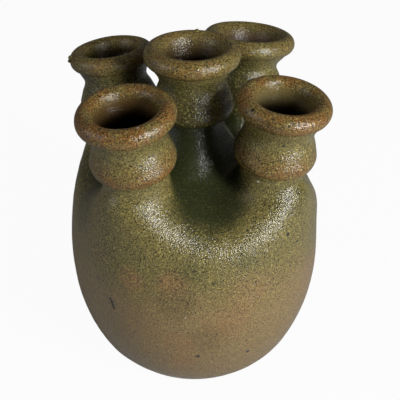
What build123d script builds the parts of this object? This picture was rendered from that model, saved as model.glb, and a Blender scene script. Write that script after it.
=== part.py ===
from build123d import *
import os
from math import cos, radians, sin

# Quintal vase: a thrown stoneware body with one upright neck in the middle and four leaning
# necks round it. Millimetres, +Z up, origin on the table under the middle of the foot.
# The valley between the two front necks looks along -Y.

# Body
belly_radius = 75.0
belly_height = 67.0
foot_radius = 51.3
foot_rounding = 3.5
body_wall = 5.5
floor_thickness = 8.0
floor_rounding = 9.0
recess_depth = 1.5
foot_ring_width = 9.0

# Shoulder: the ridge between two necks, the dish round the middle neck, the humps under the rest
shoulder_drop = 15.0
ridge_inset = 8.5
ridge_height = 113.5
dish_radius = 47.0
dish_height = 124.0
hump_inset = 3.0
hump_height = 139.0
hump_rounding = 4.5
hump_spread = 1.3
sections_per_turn = 16
join_width = 3.0

# Seats of the necks: collars on the humps, and a stem that rises from the dish
lean = 7.66
neck_inset = 22.9
collar_height = 7.6
collar_root = 19.4
collar_spread = 6.5
stem_height = 32.6
seam_thickness = 0.8
seam_bead = 0.5

# Necks, measured up from the foot of each
neck_wall = 4.5
neck_foot_radius = 17.4
bulb_radius = 22.0
bulb_height = 4.5
waist_radius = 18.4
waist_height = 18.5
lip_radius = 19.3
lip_height = 32.0
lip_roll = 5.2
mouth_depth = 9.0
middle_foot_radius = 15.6
middle_bulb_radius = 22.4
middle_bulb_height = 5.3
middle_waist_radius = 18.2
middle_waist_height = 20.5
middle_lip_radius = 20.6
middle_lip_height = 34.3

# Outer necks: name, bearing from +X in degrees, and how far each hand-thrown one strays from
# the common form, in units of one stray: outwards, upwards, and in the radius of its foot and
# bulb, of its waist and of its lip, and in its length
stray = 1.0
outer_necks = (
    ("front_left", 225.0, -0.4, 1.7, 0.25, 0.25, 0.5, -1.0),
    ("front_right", 315.0, -0.3, -2.0, -0.1, -0.3, -0.3, 1.5),
    ("back_left", 135.0, 0.9, -1.0, 0.9, -0.2, -0.2, -1.0),
    ("back_right", 45.0, 0.2, 2.1, 0.9, -0.4, 2.2, -0.7),
)

os.makedirs("parts", exist_ok=True)

# Sizes that follow from the driving ones
ridge_radius = belly_radius - ridge_inset
hump_radius = belly_radius - hump_inset
neck_circle_radius = belly_radius - neck_inset
neck_seat_height = hump_height + collar_height
collar_depth = collar_height + collar_root
middle_seat_height = dish_height + stem_height
stem_reach = dish_radius - middle_foot_radius

# Outline of the body from the foot to the belly, shared by every bearing
foot_outline = (
    (foot_radius, 0),
    (foot_radius + 0.75 * foot_rounding, 0.35 * foot_rounding),
    (foot_radius + 1.3 * foot_rounding, foot_rounding),
    (0.825 * belly_radius, 0.17 * belly_height),
    (0.9 * belly_radius, 0.35 * belly_height),
    (0.965 * belly_radius, 0.6 * belly_height),
    (belly_radius, belly_height),
)

# Outline above the belly over a valley, and over a hump, with matching points
valley_outline = (
    (0.96 * belly_radius, ridge_height - shoulder_drop),
    (ridge_radius, ridge_height),
    (0.5 * (ridge_radius + dish_radius), 0.4 * ridge_height + 0.6 * dish_height),
    (dish_radius, dish_height),
    (middle_foot_radius + 0.65 * stem_reach, dish_height + 0.14 * stem_height),
    (middle_foot_radius + 0.35 * stem_reach, dish_height + 0.35 * stem_height),
    (middle_foot_radius + 0.13 * stem_reach, dish_height + 0.72 * stem_height),
    (middle_foot_radius, middle_seat_height),
)
hump_outline = (
    (0.995 * belly_radius, ridge_height - shoulder_drop),
    (0.5 * (belly_radius + hump_radius), hump_height - 3.1 * hump_rounding),
    (hump_radius, hump_height - hump_rounding),
    (neck_circle_radius + 1.1 * hump_rounding, hump_height),
    (neck_circle_radius - 2.4 * hump_rounding, hump_height - 1.2 * hump_rounding),
    (middle_foot_radius + 2.9 * hump_rounding, hump_height - 1.4 * hump_rounding),
    (middle_foot_radius + hump_rounding, middle_seat_height - 3.2 * hump_rounding),
    (middle_foot_radius, middle_seat_height),
)

# Column in the middle that the slices of the body go round
core_radius = 0.5 * (middle_foot_radius - neck_wall)


def outline(bearing):
    """Outside of the body on one bearing, from the foot to the seat of the middle neck."""
    share = (0.5 - 0.5 * cos(4 * radians(bearing))) ** hump_spread
    nearest = min(outer_necks, key=lambda neck: -cos(radians(neck[1] - bearing)))
    rise = (0, 0, *[nearest[3] * stray] * 4, 0, 0)
    upper = [
        (
            valley[0] + (hump[0] - valley[0]) * share,
            valley[1] + (hump[1] + lift - valley[1]) * share,
        )
        for valley, hump, lift in zip(valley_outline, hump_outline, rise)
    ]
    return [*foot_outline, *upper]


def upright_plane(bearing):
    """Plane through the axis of the body, its x pointing outwards and its y up."""
    angle = radians(bearing)
    return Plane(
        origin=(0, 0, 0),
        x_dir=(cos(angle), sin(angle), 0),
        z_dir=(sin(angle), -cos(angle), 0),
    )


def slice_to_core(bearing, points):
    """Slice between the core and a curve that starts level at the bottom and ends upright."""
    with BuildSketch(upright_plane(bearing)) as section:
        with BuildLine():
            side = Spline(*points, tangents=((1, 0), (0, 1)), tangent_scalars=(1, 1))
            top = Line(side @ 1, (core_radius, (side @ 1).Y))
            core = Line(top @ 1, (core_radius, (side @ 0).Y))
            Line(core @ 1, side @ 0)
        make_face()
    return section.sketch.face()


def hollow_outline(bearing):
    """Inside of the body on one bearing: a round corner at the floor, then one wall in."""
    points = [Vector(*point) for point in outline(bearing)]
    inside = []
    for before, here, after in zip(points, points[1:], points[2:]):
        along = (after - before).normalized()
        inside.append((here.X - body_wall * along.Y, here.Y + body_wall * along.X))
    side = [point for point in inside if point[1] > floor_thickness + 0.5 * floor_rounding]
    corner = (side[0][0] - floor_rounding, floor_thickness)
    top = (middle_foot_radius - body_wall, middle_seat_height)
    return [corner, *side, top]


def seat_plane(bearing, reach, height, tilt):
    """Top of a collar, square to the axis of the neck that stands on it."""
    angle = radians(bearing)
    slope = radians(tilt)
    return Plane(
        origin=(reach * cos(angle), reach * sin(angle), height),
        x_dir=(-sin(angle), cos(angle), 0),
        z_dir=(cos(angle) * sin(slope), sin(angle) * sin(slope), cos(slope)),
    )


def turning_plane(seat, height):
    """Plane through the axis of a neck, its origin on the axis at a height above the seat."""
    return Plane(
        origin=seat.origin + seat.z_dir * height,
        x_dir=seat.x_dir,
        z_dir=-seat.y_dir,
    )


# Evenly spaced slices, and one close on each side of the first to keep the closing join smooth
bearings = [360 * turn / sections_per_turn for turn in range(sections_per_turn)]
bearings = [bearings[0], join_width, *bearings[1:], 360 - join_width]
outer_slices = [slice_to_core(bearing, outline(bearing)) for bearing in bearings]
inner_slices = [slice_to_core(bearing, hollow_outline(bearing)) for bearing in bearings]

middle_seat = seat_plane(0.0, 0.0, middle_seat_height, 0.0)
seats = {}
root_radii = {}
for name, bearing, outwards, upwards, swell, pinch, flare, stretch in outer_necks:
    reach = neck_circle_radius + outwards * stray
    seats[name] = seat_plane(bearing, reach, neck_seat_height + upwards * stray, lean)
    root_radii[name] = neck_foot_radius + swell * stray

# Hollow of the body, with the passage under each neck
with BuildPart() as hollow:
    loft(sections=[*inner_slices, inner_slices[0]])
    with BuildSketch(middle_seat):
        Circle(middle_foot_radius - neck_wall)
    extrude(amount=floor_thickness - middle_seat_height)
    with BuildSketch(middle_seat):
        Circle(middle_foot_radius - neck_wall)
    extrude(amount=collar_depth)
    for name, seat in seats.items():
        with BuildSketch(seat):
            Circle(root_radii[name] - neck_wall)
        extrude(amount=collar_depth, both=True)

# Thrown body: foot, belly, shoulder with four humps, and a collar for each neck
with BuildPart() as body:
    loft(sections=[*outer_slices, outer_slices[0]])
    with BuildSketch(middle_seat):
        Circle(0.5 * (core_radius + middle_foot_radius))
    extrude(amount=-middle_seat_height)
    for name, seat in seats.items():
        root_radius = root_radii[name]
        with BuildSketch(turning_plane(seat, 0.0)):
            with BuildLine():
                side = Spline(
                    (root_radius, 0),
                    (root_radius + 0.06 * collar_spread, -0.37 * collar_depth),
                    (root_radius + 0.27 * collar_spread, -0.6 * collar_depth),
                    (root_radius + 0.6 * collar_spread, -0.8 * collar_depth),
                    (root_radius + collar_spread, -collar_depth),
                )
                bottom = Line(side @ 1, (0, -collar_depth))
                axis = Line(bottom @ 1, (0, 0))
                Line(axis @ 1, side @ 0)
            make_face()
        revolve(axis=Axis(seat.origin, seat.z_dir))
        with BuildSketch(seat):
            Circle(root_radius + 2 * seam_bead)
        extrude(amount=lip_height, mode=Mode.SUBTRACT)
    add(hollow.part, mode=Mode.SUBTRACT)
    with BuildSketch(Plane.XY):
        Circle(foot_radius - foot_ring_width)
    extrude(amount=recess_depth, mode=Mode.SUBTRACT)
body.part.label = "body"
export_step(body.part, "parts/body.step")


def make_slip_seam(name, seat, root_radius):
    """Thin ring of slip between a collar and the foot of its neck, with a bead all round."""
    bore = root_radius - neck_wall
    with BuildPart() as slip_seam:
        with BuildSketch(turning_plane(seat, 0.0)) as section:
            with BuildLine():
                lower = Line((bore, 0), (root_radius, 0))
                bead = ThreePointArc(
                    lower @ 1,
                    (root_radius + seam_bead, 0.5 * seam_thickness),
                    (root_radius, seam_thickness),
                )
                upper = Line(bead @ 1, (bore, seam_thickness))
                Line(upper @ 1, lower @ 0)
            make_face()
        revolve(axis=Axis(seat.origin, seat.z_dir))
    slip_seam.part.label = name
    export_step(slip_seam.part, f"parts/{name}.step")


def make_neck(name, seat, root_radius, bulb, bulb_at, waist, waist_at, mouth, mouth_at):
    """Thrown neck: a bell on a narrow foot, a waist, and a rolled lip round a wide mouth."""
    under_lip = radians(-70)
    under_lip_point = (mouth + lip_roll * cos(under_lip), mouth_at + lip_roll * sin(under_lip))
    crown = (mouth, mouth_at + lip_roll)
    with BuildPart() as neck:
        with BuildSketch(turning_plane(seat, seam_thickness)) as section:
            with BuildLine():
                outside = Spline(
                    (root_radius, 0),
                    (0.25 * root_radius + 0.75 * bulb, 0.33 * bulb_at),
                    (bulb, bulb_at),
                    (0.6 * bulb + 0.4 * waist, 0.5 * (bulb_at + waist_at)),
                    (waist, waist_at),
                    under_lip_point,
                )
                lip = ThreePointArc(outside @ 1, (mouth + lip_roll, mouth_at), crown)
                inside = Spline(
                    crown,
                    (mouth - 0.45 * lip_roll, mouth_at + 0.83 * lip_roll),
                    (waist - 0.8 * neck_wall, mouth_at + lip_roll - mouth_depth),
                    (waist - neck_wall, waist_at),
                    (bulb - neck_wall, bulb_at + 0.5 * neck_wall),
                    (root_radius - neck_wall, 0),
                )
                Line(inside @ 1, outside @ 0)
            make_face()
        revolve(axis=Axis(seat.origin, seat.z_dir))
    neck.part.label = name
    export_step(neck.part, f"parts/{name}.step")


make_slip_seam("slip_seam_middle", middle_seat, middle_foot_radius)
make_neck(
    "neck_middle",
    middle_seat,
    middle_foot_radius,
    middle_bulb_radius,
    middle_bulb_height,
    middle_waist_radius,
    middle_waist_height,
    middle_lip_radius,
    middle_lip_height,
)
for name, bearing, outwards, upwards, swell, pinch, flare, stretch in outer_necks:
    make_slip_seam(f"slip_seam_{name}", seats[name], root_radii[name])
    make_neck(
        f"neck_{name}",
        seats[name],
        root_radii[name],
        bulb_radius + swell * stray,
        bulb_height,
        waist_radius + pinch * stray,
        waist_height + 0.5 * stretch * stray,
        lip_radius + flare * stray,
        lip_height + stretch * stray,
    )
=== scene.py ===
from math import atan2, cos, hypot, pi, radians, sin

import bmesh
import bpy
from mathutils import Matrix, Vector, noise


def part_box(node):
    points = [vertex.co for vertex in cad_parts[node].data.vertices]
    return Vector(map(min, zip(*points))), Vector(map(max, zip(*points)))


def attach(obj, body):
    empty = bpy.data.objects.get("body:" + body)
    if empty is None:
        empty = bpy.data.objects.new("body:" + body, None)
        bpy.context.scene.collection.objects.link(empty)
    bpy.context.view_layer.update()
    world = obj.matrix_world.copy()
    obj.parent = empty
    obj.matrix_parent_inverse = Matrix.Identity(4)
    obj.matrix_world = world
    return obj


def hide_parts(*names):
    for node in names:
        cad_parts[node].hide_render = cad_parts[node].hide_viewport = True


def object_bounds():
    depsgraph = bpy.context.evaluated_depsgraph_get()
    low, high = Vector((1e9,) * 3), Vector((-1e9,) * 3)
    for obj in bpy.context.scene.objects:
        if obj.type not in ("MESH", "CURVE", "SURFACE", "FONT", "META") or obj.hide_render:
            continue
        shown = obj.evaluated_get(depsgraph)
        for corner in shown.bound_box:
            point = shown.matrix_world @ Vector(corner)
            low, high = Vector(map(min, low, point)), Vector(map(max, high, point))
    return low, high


bl_info = {
    "name": "Quintal Vase",
    "version": (1, 0, 0),
    "blender": (4, 5, 0),
    "location": "3D View > Sidebar > Vase",
    "description": "A stoneware vase with five necks in a speckled olive glaze, its floor and its light",
    "category": "Object",
}

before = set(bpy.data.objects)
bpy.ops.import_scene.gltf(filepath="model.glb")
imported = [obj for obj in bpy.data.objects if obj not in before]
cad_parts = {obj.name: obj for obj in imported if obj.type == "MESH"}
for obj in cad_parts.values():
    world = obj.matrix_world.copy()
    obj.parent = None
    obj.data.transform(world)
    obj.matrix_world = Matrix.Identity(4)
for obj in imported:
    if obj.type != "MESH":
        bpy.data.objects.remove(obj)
cad_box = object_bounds()

MM = 0.001

# Start of the random offsets behind the wobble, so that every run strays in the same way
WOBBLE_SEED = 5

# How each hand-thrown neck strays from the common one, in millimetres: its foot and bulb, its
# waist and its lip in radius, and its length; then the colour inside it, and how much of its lip
# and bulb breaks to rust
NECKS = {
    "front_left": ((0.25, 0.25, 0.5, -1.0), (0.110, 0.060, 0.022), 0.78),
    "front_right": ((-0.1, -0.3, -0.3, 1.5), (0.160, 0.122, 0.050), 0.74),
    "back_left": ((0.9, -0.2, -0.2, -1.0), (0.026, 0.016, 0.006), 0.42),
    "back_right": ((0.9, -0.4, 2.2, -0.7), (0.105, 0.062, 0.038), 0.22),
    "middle": ((0.0, 0.0, 0.0, 0.0), (0.085, 0.052, 0.022), 0.42),
}


def millimetres(name, description, default, low=0.0):
    """A length held in metres and given in millimetres."""
    return bpy.props.FloatProperty(
        name=name,
        description=description,
        default=default * MM,
        min=low * MM,
        subtype="DISTANCE",
        unit="LENGTH",
        precision=5,
    )


def colour(name, description, default):
    """A plain colour, in linear light."""
    return bpy.props.FloatVectorProperty(
        name=name,
        description=description,
        default=default,
        size=3,
        min=0.0,
        max=1.0,
        subtype="COLOR",
    )


def share(name, description, default, high=1.0):
    """A plain number from nought up."""
    return bpy.props.FloatProperty(
        name=name, description=description, default=default, min=0.0, max=high
    )


class VaseNeckShape(bpy.types.PropertyGroup):
    """Sizes of one neck, measured up from its foot."""

    wall: millimetres("Wall", "Thickness of the thrown wall", 4.5)
    foot_radius: millimetres("Foot Radius", "Outside of the neck where it is luted on", 17.4)
    bulb_radius: millimetres("Bulb Radius", "Widest part of the bell above the foot", 22.0)
    bulb_height: millimetres("Bulb Height", "Height of the widest part of the bell", 4.5)
    waist_radius: millimetres("Waist Radius", "Narrowest part under the lip", 18.4)
    waist_height: millimetres("Waist Height", "Height of the waist", 18.5)
    lip_radius: millimetres("Lip Radius", "Middle of the rolled lip", 19.3)
    lip_height: millimetres("Lip Height", "Height of the middle of the roll", 32.0)
    lip_roll: millimetres("Lip Roll", "Radius of the roll", 5.2)
    mouth_depth: millimetres("Mouth Depth", "Depth of the funnel inside the lip", 9.0)


class VaseClay(bpy.types.PropertyGroup):
    """How the clay was thrown and how finely it is modelled."""

    lean: bpy.props.FloatProperty(
        name="Lean",
        description="Tilt of the outer necks away from the middle",
        default=radians(7.66),
        subtype="ANGLE",
        unit="ROTATION",
    )
    grain: millimetres("Grain", "Size of the facets that the body is modelled in", 1.53, 0.8)
    softening: bpy.props.IntProperty(
        name="Softening", description="Passes that smooth the body", default=5, min=0, max=60
    )
    root_softening: bpy.props.IntProperty(
        name="Root Softening",
        description="Further passes where a collar grows out of the shoulder",
        default=27,
        min=0,
        max=120,
    )
    ring_depth: millimetres("Ring Depth", "Depth of the throwing rings", 0.07)
    ring_pitch: millimetres("Ring Pitch", "Distance from one throwing ring to the next", 5.5)
    wobble: millimetres("Wobble", "How far the clay strays from a true form", 0.35)
    turns: bpy.props.IntProperty(
        name="Turns", description="Steps in one turn of a neck", default=144, min=24, max=256
    )


class VaseGlaze(bpy.types.PropertyGroup):
    """Colours and gloss of the glaze."""

    olive: colour("Olive", "Glaze on the shoulder and the necks", (0.160, 0.130, 0.042))
    # The pooled colour also serves as painted shade on the inner sides of the necks and in some of the
    # stains
    pooled: colour("Pooled", "Glaze where it runs together in the dish", (0.020, 0.026, 0.008))
    brown: colour("Brown", "Glaze below the belly", (0.222, 0.150, 0.066))
    blush: colour("Blush", "Pinkish patches from the flame", (0.255, 0.135, 0.058))
    rust: colour("Rust", "Glaze worn thin on lips and edges", (0.190, 0.082, 0.021))
    straw: colour("Straw", "Pale flecks in the glaze", (0.42, 0.36, 0.11))
    soot: colour("Soot", "Dark flecks in the glaze", (0.020, 0.022, 0.010))
    iron: colour("Iron", "Scattered iron spots", (0.010, 0.014, 0.018))
    grit: colour("Grit", "Specks of grit that show through", (0.55, 0.52, 0.40))
    clay: colour("Clay", "Bare clay under the foot", (0.30, 0.22, 0.15))
    fleck_size: millimetres("Fleck Size", "Size of the finest flecks", 1.15)
    roughness: share("Roughness", "Roughness of the glaze", 0.17)


class VaseStage(bpy.types.PropertyGroup):
    """Camera, floor and light."""

    camera_place: bpy.props.FloatVectorProperty(
        name="Camera Place",
        description="Where the camera stands",
        default=(-0.0569, -0.3535, 0.3447),
        subtype="TRANSLATION",
        unit="LENGTH",
        precision=5,
    )
    camera_heading: bpy.props.FloatProperty(
        name="Camera Heading",
        description="Bearing that the camera looks along, from +X",
        default=radians(80.29),
        subtype="ANGLE",
        unit="ROTATION",
    )
    camera_pitch: bpy.props.FloatProperty(
        name="Camera Pitch",
        description="How far the camera looks down",
        default=radians(35.395),
        subtype="ANGLE",
        unit="ROTATION",
    )
    camera_roll: bpy.props.FloatProperty(
        name="Camera Roll",
        description="Turn of the camera about its own line of sight",
        default=radians(-0.266),
        subtype="ANGLE",
        unit="ROTATION",
    )
    lens: bpy.props.FloatProperty(
        name="Lens", description="Focal length in millimetres", default=65.21, subtype="DISTANCE_CAMERA"
    )
    rise: bpy.props.FloatProperty(
        name="Rise", description="Upward shift of the frame, as a share of its width", default=0.0272
    )
    key_light: share("Key Light", "Power of the tall soft light, in watts", 11.6, 200.0)
    rim_light: share("Rim Light", "Power of the weak light on the left side, in watts", 1.8, 200.0)
    fill: share("Fill", "Light from the room all round", 0.18, 4.0)
    gloss_of_room: share("Gloss of Room", "How bright the room is in reflections", 0.10, 1.0)
    floor: colour("Floor", "Plain pale floor", (0.45, 0.45, 0.45))
    floor_glow: share("Floor Glow", "Share of plain white in the floor as the camera sees it", 0.955)


def settings():
    """Every value that a user can change."""
    return bpy.context.scene.vase


class VaseSettings(bpy.types.PropertyGroup):
    """Everything that shapes, colours and lights the vase."""

    clay: bpy.props.PointerProperty(type=VaseClay)
    glaze: bpy.props.PointerProperty(type=VaseGlaze)
    outer_neck: bpy.props.PointerProperty(type=VaseNeckShape)
    middle_neck: bpy.props.PointerProperty(type=VaseNeckShape)
    stage: bpy.props.PointerProperty(type=VaseStage)


# Materials


class Wire:
    """An output of a shader node, on which Python's signs add Math nodes."""

    def __init__(self, graph, socket):
        self.graph = graph
        self.socket = socket

    def __add__(self, other):
        return self.graph.sum("ADD", self, other)

    def __sub__(self, other):
        return self.graph.sum("SUBTRACT", self, other)

    def __mul__(self, other):
        return self.graph.sum("MULTIPLY", self, other)

    def __pow__(self, other):
        return self.graph.sum("POWER", self, other)

    def __rsub__(self, other):
        return self.graph.sum("SUBTRACT", other, self)

    __radd__ = __add__


class Graph:
    """Node tree of one material or world."""

    def __init__(self, tree):
        self.tree = tree
        tree.nodes.clear()

    def add(self, kind, made=None, fed=None, out=0):
        """Adds a node, makes its settings, feeds its sockets and gives one of its outputs."""
        node = self.tree.nodes.new(kind)
        for name, value in (made or {}).items():
            setattr(node, name, value)
        for name, value in (fed or {}).items():
            if isinstance(value, Wire):
                self.tree.links.new(value.socket, node.inputs[name])
            else:
                node.inputs[name].default_value = value
        return Wire(self, node.outputs[out]) if node.outputs else node

    def sum(self, operation, a, b):
        return self.add("ShaderNodeMath", {"operation": operation}, {0: a, 1: b})

    def place(self):
        """Place on the object, in metres, the same for every piece."""
        return self.add("ShaderNodeTexCoord", out="Object")

    def attribute(self, name):
        return self.add("ShaderNodeAttribute", {"attribute_name": name}, out="Fac")

    def parts(self, vector):
        """The three numbers of a vector."""
        node = self.add("ShaderNodeSeparateXYZ", None, {0: vector}).socket.node
        return [Wire(self, socket) for socket in node.outputs]

    def distance(self, a, b):
        return self.add(
            "ShaderNodeVectorMath", {"operation": "DISTANCE"}, {0: a, 1: b}, "Value"
        )

    def ramp(self, value, low, high):
        """Smooth step from 0 at low to 1 at high."""
        return self.add(
            "ShaderNodeMapRange",
            {"interpolation_type": "SMOOTHSTEP"},
            {"Value": value, "From Min": low, "From Max": high},
        )

    def turn(self, value, ends):
        """Smooth step between two places, given in millimetres where the step begins and ends."""
        return self.ramp(value, ends[0] * MM, ends[1] * MM)

    def noise(self, vector, size, detail=2.0, roughness=0.5):
        """Cloudy noise with features of about this size, in metres."""
        return self.add(
            "ShaderNodeTexNoise",
            None,
            {"Vector": vector, "Scale": 1 / size, "Detail": detail, "Roughness": roughness},
        )

    def cells(self, vector, size):
        """Distance to the nearest of scattered points, in cells, and a random number for each."""
        fed = {"Vector": vector, "Scale": 1 / size}
        distance = self.add("ShaderNodeTexVoronoi", None, fed, "Distance")
        chance = self.parts(Wire(self, distance.socket.node.outputs["Color"]))[0]
        return distance, chance

    def stretched(self, vector, stretch):
        return self.add("ShaderNodeMapping", None, {"Vector": vector, "Scale": stretch})

    def near_segment(self, place, start, end):
        """Distance from a straight line between two points given in millimetres."""
        start = Vector(start) * MM
        along = Vector(end) * MM - start
        offset = self.add("ShaderNodeVectorMath", {"operation": "SUBTRACT"}, {0: place, 1: start})
        passed = self.add(
            "ShaderNodeVectorMath",
            {"operation": "DOT_PRODUCT"},
            {0: offset, 1: along / along.length_squared},
            "Value",
        )
        held = self.add("ShaderNodeClamp", None, {"Value": passed})
        foot = self.add(
            "ShaderNodeVectorMath", {"operation": "SCALE"}, {0: tuple(along), "Scale": held}
        )
        return self.distance(offset, foot)

    def mix(self, factor, a, b):
        """Colour a turning to colour b."""
        made = {"data_type": "RGBA", "clamp_factor": True}
        fed = {0: factor, 6: opaque(a), 7: opaque(b)}
        return self.add("ShaderNodeMix", made, fed, 2)


def opaque(value):
    """A colour as a Mix node takes it."""
    return value if isinstance(value, Wire) else (*value, 1.0)


# Where one glaze turns into another, or into painted shade: the beginning and the end of each turn, in
# millimetres.
# Heights are above the floor, and edges are distances from the axis of the vase.
BROWN_TO_OLIVE_HEIGHT = (66, 104)
SPECKLE_HEIGHT = (66, 108)
POOL_EDGE = (68, 54)
POOL_TOP = (180, 165)
POOL_BOTTOM = (102, 114)
# Edge and top of the painted shade on the inner sides of the necks, laid in the pooled colour
PAINTED_SHADE_EDGE = (50, 36)
PAINTED_SHADE_TOP = (189, 176)
BARE_FOOT_HEIGHT = (2.2, 1.2)
SCRATCH_EDGE = (1.3, 0.6)

# Sizes of the two larger noises that make the edges of the glaze waver, in millimetres
CLOUD_SIZE = 28
DRIFT_SIZE = 11

# Patches of blush on the body: place and reach in millimetres, and strength
BLUSHES = (
    ((-44, -60, 93), 10, 0.9),
    ((-23, -69, 94), 11, 1.0),
    ((-58, -45, 100), 9, 0.5),
    ((-20, -70, 52), 13, 0.8),
    ((-17, -67, 36), 12, 0.7),
    ((6, -72, 66), 18, 0.5),
    ((17, -72, 84), 17, 0.5),
    ((60, -42, 70), 20, 0.4),
    ((62, 40, 84), 17, 0.7),
    ((-5, 74, 76), 20, 0.7),
    ((-66, 30, 62), 18, 0.6),
)

# Places where the glaze lies thick and dark, and places where shade is painted on in the same dark
# colour, such as the front of the middle neck and the front right hump, told in the same way
STAINS_AND_PAINTED_SHADE = (
    ((-7, -62, 117), 15, 0.5),
    ((-14, -70, 102), 14, 0.3),
    ((-22, -70, 81), 14, 0.3),
    ((-64, -22, 116), 18, 0.5),
    ((-52, 28, 166), 20, 0.6),
    ((30, 21, 166), 14, 0.5),
    ((-62, 17, 119), 16, 0.4),
    ((-46, 55, 177), 10, 0.4),
    ((-3, -22, 164), 13, 0.6),
    ((26, -60, 177), 10, 0.4),
    ((16, -66, 105), 12, 0.3),
    ((40, -50, 128), 18, 0.35),
    ((-3, -73, 56), 16, 0.2),
)

# Large iron spots and specks of grit, told in the same way
DARK_SPOTS = (
    ((-10.4, -71.7, 41.4), 1.6, 0.85),
    ((19.3, -68.6, 37.0), 1.5, 0.85),
    ((-15.8, -73.2, 83.0), 1.1, 0.85),
    ((40.2, -61.3, 112.8), 1.5, 0.85),
    ((-5.6, -71.0, 106.0), 0.8, 0.85),
    ((20.6, -51.4, 183.1), 1.3, 0.85),
    ((-65.5, 39.5, 177.2), 2.4, 0.85),
)
GRITS = (
    ((25.5, -49.7, 140.3), 0.9, 0.9),
    ((16.9, -42.0, 129.4), 0.7, 0.9),
    ((-35.5, -59.6, 183.5), 0.7, 0.9),
    ((-32.0, -65.5, 87.0), 0.7, 0.9),
    ((-17.0, -73.0, 73.0), 0.5, 0.9),
    ((-26.0, -66.0, 38.0), 0.7, 0.9),
)

# Scattered iron spots, small ones and a few large ones: the distance between them in millimetres,
# the share of places left without one, the largest as a share of that distance, and the strength
IRON_SPOTS = ((3.6, 0.5, 0.22, 0.9), (12.0, 0.6, 0.11, 0.95))

# Beads of glaze that ran and set: the piece, the place of each and its reach, in millimetres
BEADS = {
    "back_left": (((-63.6, 38.4, 177.8), 1.6), ((-64.6, 37.4, 176.4), 1.0)),
    "middle": (((5.8, 19.8, 195.9), 1.3), ((15.4, -12.4, 163.4), 1.2)),
}

# Dark scratch on the left of the belly, from its top to its bottom, in millimetres
SCRATCH = ((-56.0, -50.9, 73.4), (-54.4, -52.3, 67.4))


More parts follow.
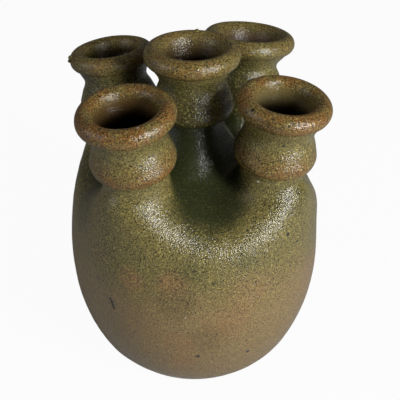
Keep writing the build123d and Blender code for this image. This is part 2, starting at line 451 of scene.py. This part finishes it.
class Glaze:
    """Speckled glaze of one piece with painted shade in places, laid coat over coat. Attributes of the
    mesh say where it is thin and how deep inside a neck a place is."""

    def __init__(self, name):
        self.look = settings().glaze
        self.material = bpy.data.materials.new(name)
        self.material.use_nodes = True
        graph = Graph(self.material.node_tree)
        self.graph = graph
        self.place = graph.place()
        across, along, self.up = graph.parts(self.place)
        self.from_axis = (across**2 + along**2) ** 0.5

        size = self.look.fleck_size
        self.clouds = graph.noise(self.place, CLOUD_SIZE * MM, 3.0)
        self.drift = graph.noise(self.place, DRIFT_SIZE * MM, 3.0, 0.6)
        self.fine = graph.noise(self.place, size, 2.0, 0.6)
        self.finer = graph.noise(graph.stretched(self.place, (1.0, 1.0, 1.15)), 0.62 * size, 1.0)

        self.colour = self.look.brown
        self.roughness = self.look.roughness + (self.fine - 0.5) * 0.2 + (self.clouds - 0.5) * 0.12
        self.relief = self.fine * 0.45 + self.finer * 0.7 + self.drift

    def sway(self, noise, reach):
        """How far a noise moves an edge, in metres, for a reach in millimetres."""
        return (noise - 0.5) * (reach * MM)

    def coat(self, weight, tint):
        """Lays a colour over what is there, by a weight from 0 to 1."""
        self.colour = self.graph.mix(weight, self.colour, tint)

    def daub(self, tint, spots, core, sway=0.0, weight=1.0):
        """Lays a colour on round spots, in full within the core, which is a share of the reach."""
        for spot, reach, strength in spots:
            apart = self.graph.distance(self.place, Vector(spot) * MM) + sway
            patch = self.graph.turn(apart, (reach, core * reach)) * strength
            self.coat(patch * weight, tint)

    def lay_olive(self):
        """Olive over the upper part, down to a wavering line, and brown left below it."""
        height = self.up + self.sway(self.clouds, 45)
        self.coat(self.graph.turn(height, BROWN_TO_OLIVE_HEIGHT), self.look.olive)

    def blush(self):
        """Pink patches from the flame, uneven within."""
        uneven = 0.45 + self.graph.ramp(self.drift, 0.35, 0.62) * 0.55
        self.daub(self.look.blush, BLUSHES, 0.35, self.sway(self.drift, 12), uneven)

    def rust(self, strength):
        """Rust where the glaze is thin, on the lip and round the bulb."""
        uneven = 0.35 + self.graph.ramp(self.drift, 0.36, 0.62) * 0.85
        self.coat(self.graph.attribute("thin_glaze") * uneven * strength, self.look.rust)

    def pool(self):
        """Glaze run together in the dish, painted shade on the inner sides of the necks, and the stains,
        some of which are painted shade. Gives the share of the pool at each place."""
        turn = self.graph.turn
        slope = self.up + self.from_axis * 0.8 + self.sway(self.drift, 8)
        pooled = turn(self.from_axis + self.sway(self.clouds, 20), POOL_EDGE)
        pooled = pooled * turn(slope, POOL_TOP) * turn(self.up, POOL_BOTTOM)
        self.coat(pooled * 0.96, self.look.pooled)
        # Painted shade in the pooled colour, on the inner sides of the necks below their lips
        painted_shade = turn(self.from_axis, PAINTED_SHADE_EDGE) * turn(self.up, PAINTED_SHADE_TOP)
        self.coat(painted_shade * 0.5, self.look.pooled)
        # Stains in the pooled colour: some are real thick glaze, some are painted shade
        self.daub(self.look.pooled, STAINS_AND_PAINTED_SHADE, 0.3, self.sway(self.clouds, 12))
        return pooled

    def fleck(self, pooled):
        """Pale and dark flecks, strongest on the shoulder, the pale ones weak in the pool."""
        busy = 0.65 + self.graph.turn(self.up, SPECKLE_HEIGHT) * 0.35
        pale = self.graph.ramp(self.fine, 0.52, 0.64) * busy * (1 - pooled * 0.85)
        self.coat(pale * 0.42, self.look.straw)
        self.coat(self.graph.ramp(self.finer, 0.505, 0.375) * busy * 0.9, self.look.soot)

    def spot(self):
        """Iron spots of all sizes, and specks of grit."""
        for size, empty, largest, strength in IRON_SPOTS:
            apart, chance = self.graph.cells(self.place, size * MM)
            wide = self.graph.ramp(chance, empty, 1.0) * largest
            blot = self.graph.ramp(apart + (self.fine - 0.5) * 0.08, wide, wide * 0.45)
            self.coat(blot * self.graph.ramp(chance, empty, empty + 0.02) * strength, self.look.iron)
        self.daub(self.look.iron, DARK_SPOTS, 0.6)
        self.daub(self.look.grit, GRITS, 0.6)

    def colour_and_shade_inside(self, inside):
        """Inside of the necks: each neck's inside colour near the lip, and painted shade, near black,
        deeper down.
        """
        deep = self.graph.attribute("inside")
        self.coat(self.graph.ramp(deep, 0.02, 0.35) * 0.85, inside)
        # Painted shade deep in the throat
        self.coat(self.graph.ramp(deep, 0.2, 0.75), tuple(0.05 * part for part in inside))

    def scratch(self):
        """The scratch on the belly, cut in and dark."""
        mark = self.graph.turn(self.graph.near_segment(self.place, *SCRATCH), SCRATCH_EDGE)
        self.coat(mark, self.look.soot)
        self.relief = self.relief - mark * 3.0

    def bare_foot(self):
        """Bare and rougher clay under the foot."""
        bare = self.graph.turn(self.up + self.sway(self.drift, 1.5), BARE_FOOT_HEIGHT)
        grainy = self.graph.ramp(self.fine, 0.35, 0.65)
        darker = tuple(0.6 * part for part in self.look.clay)
        self.coat(bare, self.graph.mix(grainy, self.look.clay, darker))
        self.roughness = self.roughness + bare * 0.5

    def finish(self):
        """Joins the colour, the gloss and the relief in one shader."""
        bump = self.graph.add(
            "ShaderNodeBump",
            None,
            {"Strength": 0.75, "Distance": 0.6 * MM, "Height": self.relief},
            "Normal",
        )
        shader = self.graph.add(
            "ShaderNodeBsdfPrincipled",
            None,
            {"Base Color": self.colour, "Roughness": self.roughness, "Normal": bump, "IOR": 1.5},
        )
        self.graph.add("ShaderNodeOutputMaterial", None, {"Surface": shader})
        return self.material


def make_glaze(name, inside, rust, on_body=False):
    """Material of one piece, with the colour inside it and the strength of the rust."""
    glaze = Glaze(name)
    glaze.lay_olive()
    if on_body:
        glaze.blush()
    glaze.rust(rust)
    pooled = glaze.pool()
    glaze.fleck(pooled)
    glaze.spot()
    glaze.colour_and_shade_inside(inside)
    if on_body:
        glaze.scratch()
        glaze.bare_foot()
    return glaze.finish()


# Modelling


# Bands of the body, in millimetres. Heights are above the seat of the nearest neck, and reaches
# are past the outside of its foot. The seats and the foot keep the shape of the solids.
FOOT_FACE_HEIGHT = 0.8
SEAT_BOTTOM = -2.5
SEAT_REACH = 4
ROOT_BOTTOM = -31
ROOT_TOP = -7
ROOT_REACH = 13
ROOT_INNER = -1

# The foot stands true below this height, in millimetres
TRUE_BELOW = 4

# Outline of the slip round a seat: how far out from the neck's foot, and how high, in millimetres.
# The last point closes it behind the neck.
SLIP_OUTLINE = ((-0.6, -3.4), (0.12, -2.8), (0.35, -1.4), (1.0, -0.1), (1.9, 0.9))
SLIP_END = (-0.6, 1.4)

# Steps in each span of a smooth outline
NECK_STEPS = 8
LIP_STEPS = 18
SLIP_STEPS = 4


def new_piece(name, bm, replaced, material):
    """Turns a bmesh into a smooth object that rides on the vase."""
    mesh = bpy.data.meshes.new(name)
    bm.to_mesh(mesh)
    bm.free()
    mesh.shade_smooth()
    piece = bpy.data.objects.new(name, mesh)
    bpy.context.scene.collection.objects.link(piece)
    mesh.materials.append(material)
    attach(piece, "root")
    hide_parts(*replaced)


def smooth_curve(points, steps):
    """Points along a smooth curve through the given ones, with so many steps to each span."""
    points = [Vector(point) for point in points]
    gaps = [(b - a).length for a, b in zip(points, points[1:])]
    slopes = [(b - a) / gap for a, b, gap in zip(points, points[1:], gaps)]
    tangents = [slopes[0]]
    for before, after, gap_before, gap_after in zip(slopes, slopes[1:], gaps, gaps[1:]):
        tangents.append((before * gap_after + after * gap_before) / (gap_before + gap_after))
    tangents.append(slopes[-1])
    curve = [points[0]]
    for index, gap in enumerate(gaps):
        for step in range(1, steps + 1):
            t = step / steps
            curve.append(
                points[index] * (2 * t**3 - 3 * t**2 + 1)
                + tangents[index] * gap * (t**3 - 2 * t**2 + t)
                + points[index + 1] * (3 * t**2 - 2 * t**3)
                + tangents[index + 1] * gap * (t**3 - t**2)
            )
    return curve


def arc(centre, radius, start, end, steps):
    """Points along an arc, angles in degrees from the outward direction."""
    angles = [radians(start + (end - start) * step / steps) for step in range(steps + 1)]
    return [Vector((centre[0] + radius * cos(a), centre[1] + radius * sin(a))) for a in angles]


class Seat:
    """Where a neck is luted to its collar: the place, and the frame that leans with the neck."""

    def __init__(self, name):
        low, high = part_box(f"slip_seam_{name}")
        middle = (low + high) / 2
        self.bearing = atan2(middle.y, middle.x)
        lean = settings().clay.lean if hypot(middle.x, middle.y) > MM else 0.0
        turn = Matrix.Rotation(self.bearing, 4, "Z") @ Matrix.Rotation(lean, 4, "Y")
        self.frame = Matrix.Translation(middle) @ turn

    def local(self, place):
        """Distance from the neck's axis, and height above the seat."""
        place = self.frame.inverted() @ place
        return hypot(place.x, place.y), place.z


def spun(profile, seat, turns, layers):
    """Spins a closed profile round the axis of a seat. Layers give a value to each point of it."""
    bm = bmesh.new()
    for name in layers:
        bm.verts.layers.float.new(name)
    verts = [bm.verts.new((point[0], 0.0, point[1])) for point in profile]
    for name, values in layers.items():
        layer = bm.verts.layers.float[name]
        for vert, value in zip(verts, values):
            vert[layer] = value
    edges = [bm.edges.new(pair) for pair in zip(verts, verts[1:] + verts[:1])]
    bmesh.ops.spin(
        bm,
        geom=verts + edges,
        cent=(0, 0, 0),
        axis=(0, 0, 1),
        angle=2 * pi,
        steps=turns,
        use_merge=True,
    )
    bmesh.ops.recalc_face_normals(bm, faces=bm.faces)
    bmesh.ops.transform(bm, matrix=seat.frame, verts=bm.verts)
    return bm


def stray(place):
    """How the clay strays from its true form at a place, the same for every piece."""
    size = settings().clay.wobble
    broad = noise.noise_vector(place / (38 * MM))
    narrow = noise.noise_vector(place / (14 * MM))
    return broad * size + narrow * size * 0.3


def throw(bm, seat=None, ring=1.0):
    """Gives a piece its throwing rings and the wobble of the hand."""
    clay = settings().clay
    bm.normal_update()
    moves = []
    for vert in bm.verts:
        place = vert.co
        bearing = atan2(place.y, place.x)
        height = place.z
        if seat:
            local = seat.frame.inverted() @ place
            bearing = atan2(local.y, local.x)
            height = local.z
        phase = 2 * pi * height / clay.ring_pitch + bearing
        depth = clay.ring_depth * ring * (0.5 + noise.noise(place / (20 * MM)))
        moves.append(vert.normal * sin(phase) * depth + stray(place))
    for vert, move in zip(bm.verts, moves):
        if vert.co.z > TRUE_BELOW * MM:
            vert.co += move


def sort_body(bm):
    """Corners of the body that smoothing may move, and those where a collar grows out."""
    seats = [Seat(name) for name in NECKS]
    radius = settings().outer_neck.foot_radius
    free, roots = [], []
    for vert in bm.verts:
        nearest, level = min((seat.local(vert.co) for seat in seats), key=lambda at: at[0])
        past = (nearest - radius) / MM
        level = level / MM
        if vert.co.z < FOOT_FACE_HEIGHT * MM or (level > SEAT_BOTTOM and past < SEAT_REACH):
            continue
        free.append(vert)
        if ROOT_BOTTOM < level < ROOT_TOP and ROOT_INNER < past < ROOT_REACH:
            roots.append(vert)
    return free, roots


class VASE_OT_body(bpy.types.Operator):
    """Model the thrown body with its humps, its dish and its collars"""

    bl_idname = "vase.body"
    bl_label = "Body"

    def execute(self, context):
        clay = settings().clay
        bm = bmesh.new()
        bm.from_mesh(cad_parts["body"].data)
        bmesh.ops.remove_doubles(bm, verts=bm.verts, dist=0.002 * MM)
        mesh = bpy.data.meshes.new("body_rough")
        bm.to_mesh(mesh)
        bm.free()
        rough = bpy.data.objects.new("body_rough", mesh)
        context.scene.collection.objects.link(rough)
        remesh = rough.modifiers.new("Clay", "REMESH")
        remesh.mode = "VOXEL"
        remesh.voxel_size = clay.grain
        shaped = rough.evaluated_get(context.evaluated_depsgraph_get())
        bm = bmesh.new()
        bm.from_mesh(shaped.to_mesh())
        bpy.data.objects.remove(rough)

        free, roots = sort_body(bm)
        for verts, passes in ((roots, clay.root_softening), (free, clay.softening)):
            for _ in range(passes):
                bmesh.ops.smooth_vert(
                    bm, verts=verts, factor=0.5, use_axis_x=True, use_axis_y=True, use_axis_z=True
                )
        throw(bm)
        glaze = make_glaze("body_glaze", (0.06, 0.05, 0.024), 0.4, on_body=True)
        new_piece("thrown_body", bm, ["body"], glaze)
        return {"FINISHED"}


def neck_outline(shape, strays):
    """Closed outline of a neck as (radius, height) points, with how thin the glaze is and how
    deep inside each point lies."""
    swell, pinch, flare, stretch = (stray * MM for stray in strays)
    root = shape.foot_radius + swell
    bulb = shape.bulb_radius + swell
    waist = shape.waist_radius + pinch
    mouth = shape.lip_radius + flare
    waist_at = shape.waist_height + 0.5 * stretch
    mouth_at = shape.lip_height + stretch
    roll = shape.lip_roll
    bottom = -1.5 * MM
    lip = arc((mouth, mouth_at), roll, -70, 90, LIP_STEPS)
    outside = smooth_curve(
        (
            (root, 0),
            (0.25 * root + 0.75 * bulb, 0.33 * shape.bulb_height),
            (bulb, shape.bulb_height),
            (0.6 * bulb + 0.4 * waist, 0.5 * (shape.bulb_height + waist_at)),
            (waist, waist_at),
            lip[0],
        ),
        NECK_STEPS,
    )
    inside = smooth_curve(
        (
            lip[-1],
            (mouth - 0.45 * roll, mouth_at + 0.83 * roll),
            (waist - 0.8 * shape.wall, mouth_at + roll - shape.mouth_depth),
            (waist - shape.wall, waist_at),
            (bulb - shape.wall, shape.bulb_height + 0.5 * shape.wall),
            (root - shape.wall, bottom),
        ),
        NECK_STEPS,
    )
    outline = [Vector((root - 0.5 * MM, bottom)), *outside, *lip[1:], *inside[1:]]
    turned_in = len(outside) + len(lip)
    thin, deep = [], []
    for index, point in enumerate(outline):
        radius, height = point
        if index < turned_in:
            on_bulb = max(0.0, 1 - abs(height - shape.bulb_height) / (2.8 * shape.bulb_height))
            on_lip = max(0.0, min(1.0, (height - mouth_at + 1.3 * roll) / (0.8 * roll)))
            thin.append(max(on_bulb, on_lip))
            deep.append(0.0)
        else:
            below = (mouth_at + roll - height) / shape.mouth_depth
            thin.append(max(0.0, 1 - 1.1 * below))
            deep.append(min(1.0, max(0.0, (below - 0.15) / 2.2)))
    return outline, thin, deep


def make_neck(name, shape):
    """One thrown neck with its beads, and the slip that lutes it to its collar."""
    strays, inside, rust = NECKS[name]
    seat = Seat(name)
    outline, thin, deep = neck_outline(shape, strays)
    bm = spun(outline, seat, settings().clay.turns, {"thin_glaze": thin, "inside": deep})
    throw(bm, seat)
    for place, reach in BEADS.get(name, ()):
        bead = Matrix.Translation(Vector(place) * MM)
        bmesh.ops.create_icosphere(bm, subdivisions=3, radius=reach * MM, matrix=bead)
    glaze = make_glaze(f"{name}_neck_glaze", inside, rust)
    new_piece(f"thrown_neck_{name}", bm, [f"neck_{name}"], glaze)
    make_slip(name, seat, shape.foot_radius + strays[0] * MM, inside)


def make_slip(name, seat, foot_radius, inside):
    """The slip round a neck's foot."""
    points = [(foot_radius + out * MM, height * MM) for out, height in SLIP_OUTLINE]
    skin = smooth_curve(points, SLIP_STEPS)
    skin.append(Vector((foot_radius + SLIP_END[0] * MM, SLIP_END[1] * MM)))
    flat = [0.0] * len(skin)
    bm = spun(skin, seat, settings().clay.turns, {"thin_glaze": flat, "inside": flat})
    throw(bm, seat, 0.0)
    glaze = make_glaze(f"{name}_slip_glaze", inside, 0.0)
    new_piece(f"slip_{name}", bm, [f"slip_seam_{name}"], glaze)


class VASE_OT_outer_necks(bpy.types.Operator):
    """Model the four leaning necks and the slip under each"""

    bl_idname = "vase.outer_necks"
    bl_label = "Outer Necks"

    def execute(self, context):
        for name in NECKS:
            if name != "middle":
                make_neck(name, settings().outer_neck)
        return {"FINISHED"}


class VASE_OT_middle_neck(bpy.types.Operator):
    """Model the upright neck in the middle and the slip under it"""

    bl_idname = "vase.middle_neck"
    bl_label = "Middle Neck"

    def execute(self, context):
        make_neck("middle", settings().middle_neck)
        return {"FINISHED"}


# Colour of both lamps, and the floor's reach in metres
LAMP_COLOUR = (1.0, 0.99, 0.99)
FLOOR_RADIUS = 4.0


class VASE_OT_stage(bpy.types.Operator):
    """Lay the floor, hang the lights and set up the camera"""

    bl_idname = "vase.stage"
    bl_label = "Stage"

    def execute(self, context):
        stage = settings().stage
        make_floor(stage)
        make_room(stage)
        make_light(
            "key_light", stage.key_light, bearing=36.0, elevation=20.0, distance=0.95, size=(0.18, 0.5)
        )
        make_light(
            "rim_light", stage.rim_light, bearing=280.0, elevation=24.0, distance=0.9, size=(0.5, 0.5)
        )
        make_camera(stage)
        context.scene.view_settings.view_transform = "Standard"
        return {"FINISHED"}


def make_floor(stage):
    """Wide pale floor that shows the camera mostly white and keeps the shadow."""
    bm = bmesh.new()
    bmesh.ops.create_circle(bm, cap_ends=True, segments=96, radius=FLOOR_RADIUS)
    mesh = bpy.data.meshes.new("floor")
    bm.to_mesh(mesh)
    bm.free()
    floor = bpy.data.objects.new("floor", mesh)
    bpy.context.scene.collection.objects.link(floor)
    material = bpy.data.materials.new("pale_floor")
    material.use_nodes = True
    graph = Graph(material.node_tree)
    seen = graph.add("ShaderNodeLightPath", out="Is Camera Ray")
    diffuse = graph.add("ShaderNodeBsdfDiffuse", None, {"Color": opaque(stage.floor)})
    white = graph.add("ShaderNodeEmission", None, {"Strength": 1.0})
    shader = graph.add(
        "ShaderNodeMixShader", None, {0: seen * stage.floor_glow, 1: diffuse, 2: white}
    )
    graph.add("ShaderNodeOutputMaterial", None, {"Surface": shader})
    mesh.materials.append(material)


def make_room(stage):
    """Plain white room for the camera, and a soft light from all round for the vase."""
    world = bpy.data.worlds.new("room")
    world.use_nodes = True
    bpy.context.scene.world = world
    graph = Graph(world.node_tree)
    path = graph.add("ShaderNodeLightPath", out="Is Camera Ray").socket.node
    camera, glossy, through = (
        Wire(graph, path.outputs[name])
        for name in ("Is Camera Ray", "Is Glossy Ray", "Is Transmission Ray")
    )
    clear = graph.sum("MAXIMUM", camera, through)
    strength = clear + glossy * stage.gloss_of_room + (1 - clear) * (1 - glossy) * stage.fill
    light = graph.add("ShaderNodeBackground", None, {"Strength": strength})
    graph.add("ShaderNodeOutputWorld", None, {"Surface": light})


def make_light(name, power, bearing, elevation, distance, size):
    """Soft light that looks at the middle of the vase. The bearing is from the front, to the
    right, both angles are in degrees, and the distance and the size are in metres."""
    lamp = bpy.data.lights.new(name, "AREA")
    lamp.shape = "RECTANGLE"
    lamp.size, lamp.size_y = size
    lamp.energy = power
    lamp.color = LAMP_COLOUR
    target = (cad_box[0] + cad_box[1]) / 2
    out = Vector((sin(radians(bearing)), -cos(radians(bearing)), 0)) * cos(radians(elevation))
    out.z = sin(radians(elevation))
    light = bpy.data.objects.new(name, lamp)
    light.location = target + out * distance
    light.rotation_euler = (-out).to_track_quat("-Z", "Y").to_euler()
    bpy.context.scene.collection.objects.link(light)


def make_camera(stage):
    """Camera at the photograph's viewing angle."""
    data = bpy.data.cameras.new("camera")
    data.lens = stage.lens
    data.sensor_width = 36.0
    data.shift_y = stage.rise
    camera = bpy.data.objects.new("camera", data)
    turn = (
        Matrix.Rotation(stage.camera_heading - pi / 2, 4, "Z")
        @ Matrix.Rotation(pi / 2 - stage.camera_pitch, 4, "X")
        @ Matrix.Rotation(stage.camera_roll, 4, "Z")
    )
    camera.matrix_world = Matrix.Translation(Vector(stage.camera_place)) @ turn
    bpy.context.scene.collection.objects.link(camera)
    bpy.context.scene.camera = camera


class VASE_PT_panel(bpy.types.Panel):
    """Steps that make the vase, in order"""

    bl_idname = "VASE_PT_panel"
    bl_label = "Quintal Vase"
    bl_space_type = "VIEW_3D"
    bl_region_type = "UI"
    bl_category = "Vase"

    def draw(self, context):
        for step in STEPS:
            self.layout.operator(step.bl_idname)


STEPS = (VASE_OT_body, VASE_OT_outer_necks, VASE_OT_middle_neck, VASE_OT_stage)
GROUPS = (VaseNeckShape, VaseClay, VaseGlaze, VaseStage, VaseSettings)


def register():
    for kind in (*GROUPS, *STEPS, VASE_PT_panel):
        bpy.utils.register_class(kind)
    bpy.types.Scene.vase = bpy.props.PointerProperty(type=VaseSettings)


def unregister():
    del bpy.types.Scene.vase
    for kind in reversed((*GROUPS, *STEPS, VASE_PT_panel)):
        bpy.utils.unregister_class(kind)


def shape_middle_neck():
    """The middle neck stands on a narrower stem and opens wider than the others."""
    shape = settings().middle_neck
    shape.foot_radius = 15.6 * MM
    shape.bulb_radius = 22.4 * MM
    shape.bulb_height = 5.3 * MM
    shape.waist_radius = 18.2 * MM
    shape.waist_height = 20.5 * MM
    shape.lip_radius = 20.6 * MM
    shape.lip_height = 34.3 * MM


def main():
    register()
    noise.seed_set(WOBBLE_SEED)
    shape_middle_neck()
    bpy.ops.vase.body()
    bpy.ops.vase.outer_necks()
    bpy.ops.vase.middle_neck()
    bpy.ops.vase.stage()
    bpy.context.view_layer.update()


if __name__ == "__main__":
    main()
